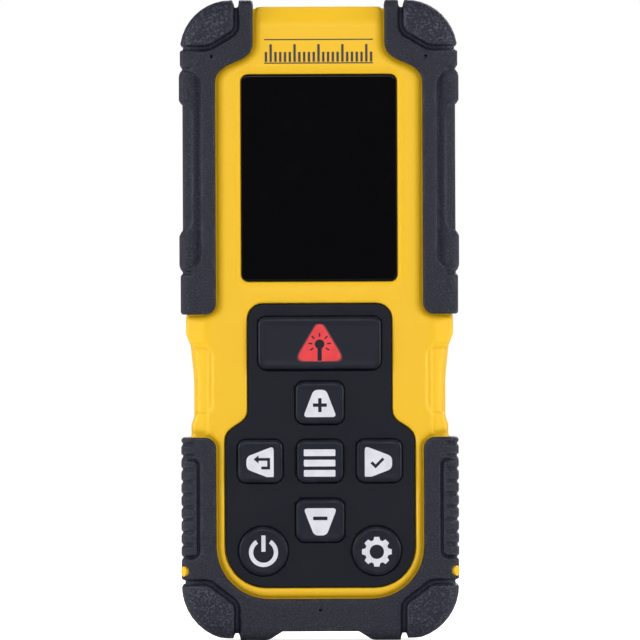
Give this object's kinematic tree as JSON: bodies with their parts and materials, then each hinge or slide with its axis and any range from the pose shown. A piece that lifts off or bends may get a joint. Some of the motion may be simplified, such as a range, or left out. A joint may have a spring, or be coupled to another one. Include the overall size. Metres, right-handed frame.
{
  "type": "laser distance meter",
  "caption": "Handheld laser distance meter with a rubber-gripped plastic case, display window, sprung keypad, optics in the top end, hinged battery door and tripod bush.",
  "frame": {"origin": "under the middle of the bottom end, on the plane of its feet, which is the rear reference plane of the meter", "axes": "+Z along the laser beam from the bottom end to the optics, -Y out of the display and keypad face, +X to the right seen from the front"},
  "size_m": [0.0586, 0.032, 0.134],
  "materials": {
    "yellow_plastic": "moulded ABS with a fine satin texture",
    "grip_rubber": "matt overmoulded rubber with a fine grain",
    "keypad_plastic": "near-black moulded plastic, satin",
    "key_rubber": "soft-touch silicone with printed icons",
    "black_plastic": "satin black",
    "display_glass": "high-gloss black window",
    "lens_glass": "coated optical glass",
    "foam": "closed-cell foam",
    "seal_rubber": "grey silicone cord",
    "silicone": "translucent grey silicone",
    "circuit_board": "solder resist over glass-fibre board",
    "steel": "zinc-plated, bright",
    "nickel": "nickel plate",
    "brass": "turned brass",
    "cell_jacket": "plain shrink sleeve",
    "label_film": "blank silver film"
  },
  "bodies": {
    "case": {"front_housing": "yellow_plastic", "rear_housing": "yellow_plastic", "case_gasket": "seal_rubber", "upper_left_grip_front": "grip_rubber", "upper_left_grip_rear": "grip_rubber", "upper_right_grip_front": "grip_rubber", "upper_right_grip_rear": "grip_rubber", "lower_bumper_front": "grip_rubber", "lower_bumper_rear": "grip_rubber", "marker_stud_left": "yellow_plastic", "marker_stud_right": "yellow_plastic", "display_window": "display_glass", "display_gasket": "foam", "lcd_panel": "black_plastic", "keypad_fascia": "keypad_plastic", "switch_sheet": "silicone", "main_board": "circuit_board", "shield_can": "nickel", "buzzer": "black_plastic", "optics_frame": "black_plastic", "receiver_lens": "lens_glass", "laser_barrel": "brass", "collimator_lens": "lens_glass", "laser_exit_window": "lens_glass", "detector_can": "nickel", "detector_board": "circuit_board", "optics_bezel": "black_plastic", "battery_left": "cell_jacket", "battery_right": "cell_jacket", "battery_negative_contact": "nickel", "battery_positive_contact": "nickel", "battery_bridge_contact": "nickel", "battery_door_pin": "steel", "tripod_bush": "brass", "case_screw_lower_left": "steel", "case_screw_lower_right": "steel", "case_screw_upper_left": "steel", "case_screw_upper_right": "steel", "label_plate": "label_film"},
    "battery_door": {"battery_door": "keypad_plastic", "battery_door_seal": "seal_rubber"},
    "battery_door_latch": {"battery_door_latch": "yellow_plastic"},
    "measure_key": {"measure_key": "key_rubber"},
    "plus_key": {"plus_key": "key_rubber"},
    "back_key": {"back_key": "key_rubber"},
    "menu_key": {"menu_key": "key_rubber"},
    "confirm_key": {"confirm_key": "key_rubber"},
    "minus_key": {"minus_key": "key_rubber"},
    "power_key": {"power_key": "key_rubber"},
    "settings_key": {"settings_key": "key_rubber"}
  },
  "joints": [
    {"name": "measure_key_press", "type": "slide", "parent": "case", "child": "measure_key", "axis": [0, 1, 0], "range_m": [0, 0.0008], "stiffness_N_per_m": 1500},
    {"name": "plus_key_press", "type": "slide", "parent": "case", "child": "plus_key", "axis": [0, 1, 0], "range_m": [0, 0.0008], "stiffness_N_per_m": 1500},
    {"name": "back_key_press", "type": "slide", "parent": "case", "child": "back_key", "axis": [0, 1, 0], "range_m": [0, 0.0008], "stiffness_N_per_m": 1500},
    {"name": "menu_key_press", "type": "slide", "parent": "case", "child": "menu_key", "axis": [0, 1, 0], "range_m": [0, 0.0008], "stiffness_N_per_m": 1500},
    {"name": "confirm_key_press", "type": "slide", "parent": "case", "child": "confirm_key", "axis": [0, 1, 0], "range_m": [0, 0.0008], "stiffness_N_per_m": 1500},
    {"name": "minus_key_press", "type": "slide", "parent": "case", "child": "minus_key", "axis": [0, 1, 0], "range_m": [0, 0.0008], "stiffness_N_per_m": 1500},
    {"name": "power_key_press", "type": "slide", "parent": "case", "child": "power_key", "axis": [0, 1, 0], "range_m": [0, 0.0008], "stiffness_N_per_m": 1500},
    {"name": "settings_key_press", "type": "slide", "parent": "case", "child": "settings_key", "axis": [0, 1, 0], "range_m": [0, 0.0008], "stiffness_N_per_m": 1500},
    {"name": "battery_door_hinge", "type": "hinge", "parent": "case", "child": "battery_door", "pos_m": [0, 0.013, 0.079], "axis": [1, 0, 0], "range_deg": [0, 95]},
    {"name": "battery_door_latch_slide", "type": "slide", "parent": "battery_door", "child": "battery_door_latch", "axis": [0, 0, 1], "range_m": [0, 0.0015], "stiffness_N_per_m": 600}
  ]
}
